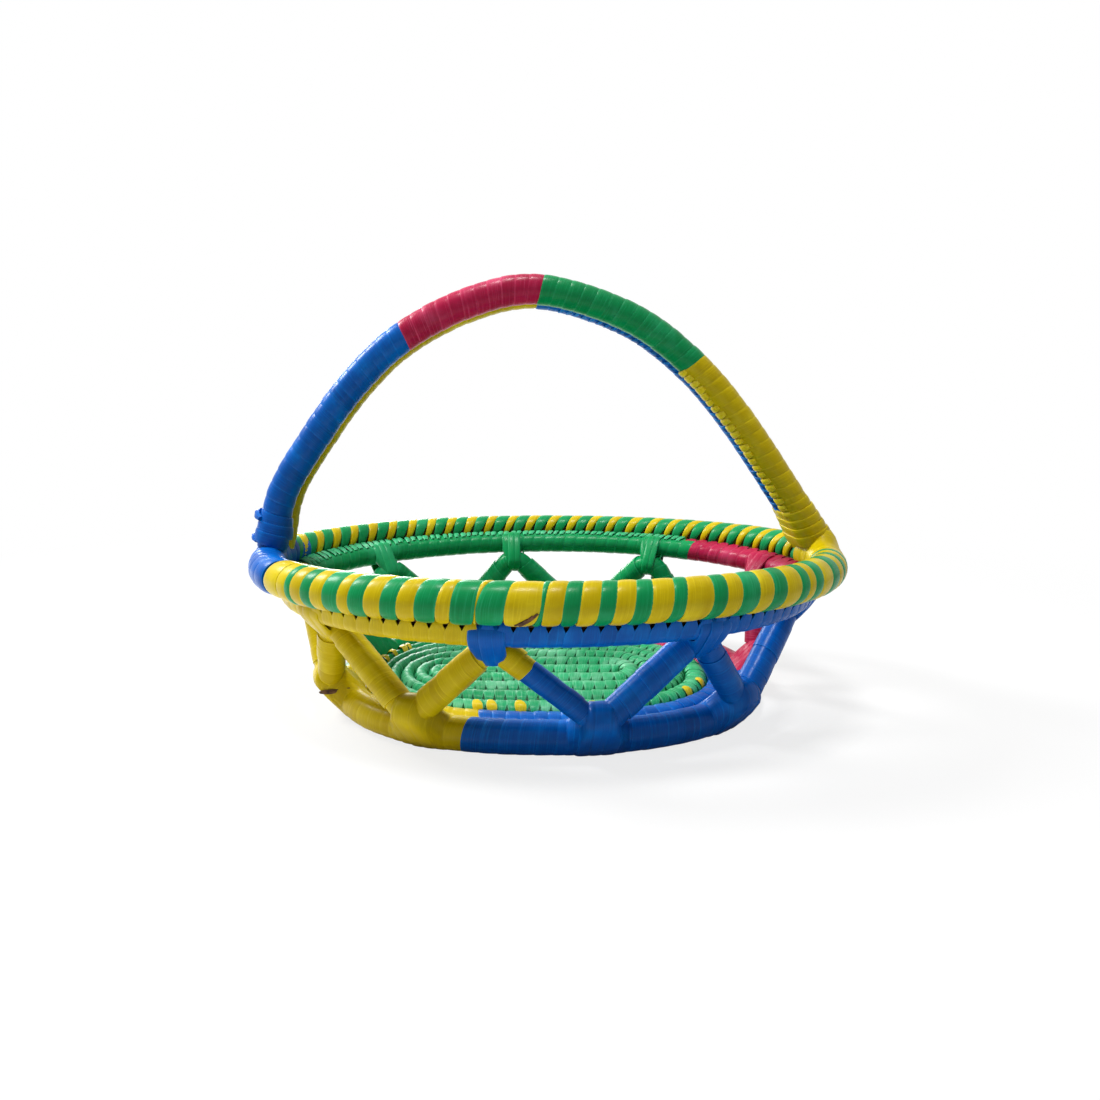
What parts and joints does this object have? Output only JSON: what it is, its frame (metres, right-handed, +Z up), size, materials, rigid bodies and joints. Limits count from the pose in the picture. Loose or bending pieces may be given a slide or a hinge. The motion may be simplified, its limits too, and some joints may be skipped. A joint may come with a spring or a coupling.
{
  "type": "palm fruit basket",
  "caption": "Oval fruit basket of wrapped and sewn palm coils, with an openwork zigzag wall, a wound rim and a fixed twin-coil handle.",
  "frame": {"origin": "on the surface the basket stands on, under the middle of the bowl", "axes": "+X along the oval towards the handle's right foot, +Z up"},
  "size_m": [0.3021, 0.2243, 0.2127],
  "materials": {
    "green": "glossy dyed wrap",
    "yellow": "glossy dyed wrap",
    "blue": "glossy dyed wrap",
    "red": "glossy dyed wrap",
    "palm_rib": "matt dry palm rib"
  },
  "bodies": {
    "root": {"base_coil": "green", "base_ring_blue": "blue", "base_ring_green": "green", "base_ring_red": "red", "base_ring_yellow": "yellow", "foot_ring_blue": "blue", "foot_ring_core": "palm_rib", "foot_ring_green": "green", "foot_ring_red": "red", "foot_ring_yellow": "yellow", "handle_back_blue": "blue", "handle_back_yellow": "yellow", "handle_binding_left": "blue", "handle_binding_right": "yellow", "handle_core_back": "palm_rib", "handle_core_front": "palm_rib", "handle_front_blue": "blue", "handle_front_green": "green", "handle_front_red": "red", "handle_front_yellow": "yellow", "peak_lashing_1": "yellow", "peak_lashing_2": "yellow", "peak_lashing_3": "blue", "peak_lashing_4": "blue", "peak_lashing_5": "blue", "peak_lashing_6": "red", "peak_lashing_7": "green", "peak_lashing_8": "green", "peak_lashing_9": "green", "rim_core": "palm_rib", "rim_wrap_blue_left": "blue", "rim_wrap_green_back": "green", "rim_wrap_green_front": "green", "rim_wrap_yellow_back": "yellow", "rim_wrap_yellow_front": "yellow", "rim_wrap_yellow_right": "yellow", "trough_lashing_1": "yellow", "trough_lashing_2": "yellow", "trough_lashing_3": "blue", "trough_lashing_4": "blue", "trough_lashing_5": "red", "trough_lashing_6": "red", "trough_lashing_7": "green", "trough_lashing_8": "green", "trough_lashing_9": "green", "upper_ring_blue": "blue", "upper_ring_core": "palm_rib", "upper_ring_green": "green", "upper_ring_red": "red", "upper_ring_yellow": "yellow", "zigzag_blue": "blue", "zigzag_core": "palm_rib", "zigzag_green": "green", "zigzag_red": "red", "zigzag_yellow": "yellow"}
  },
  "joints": []
}
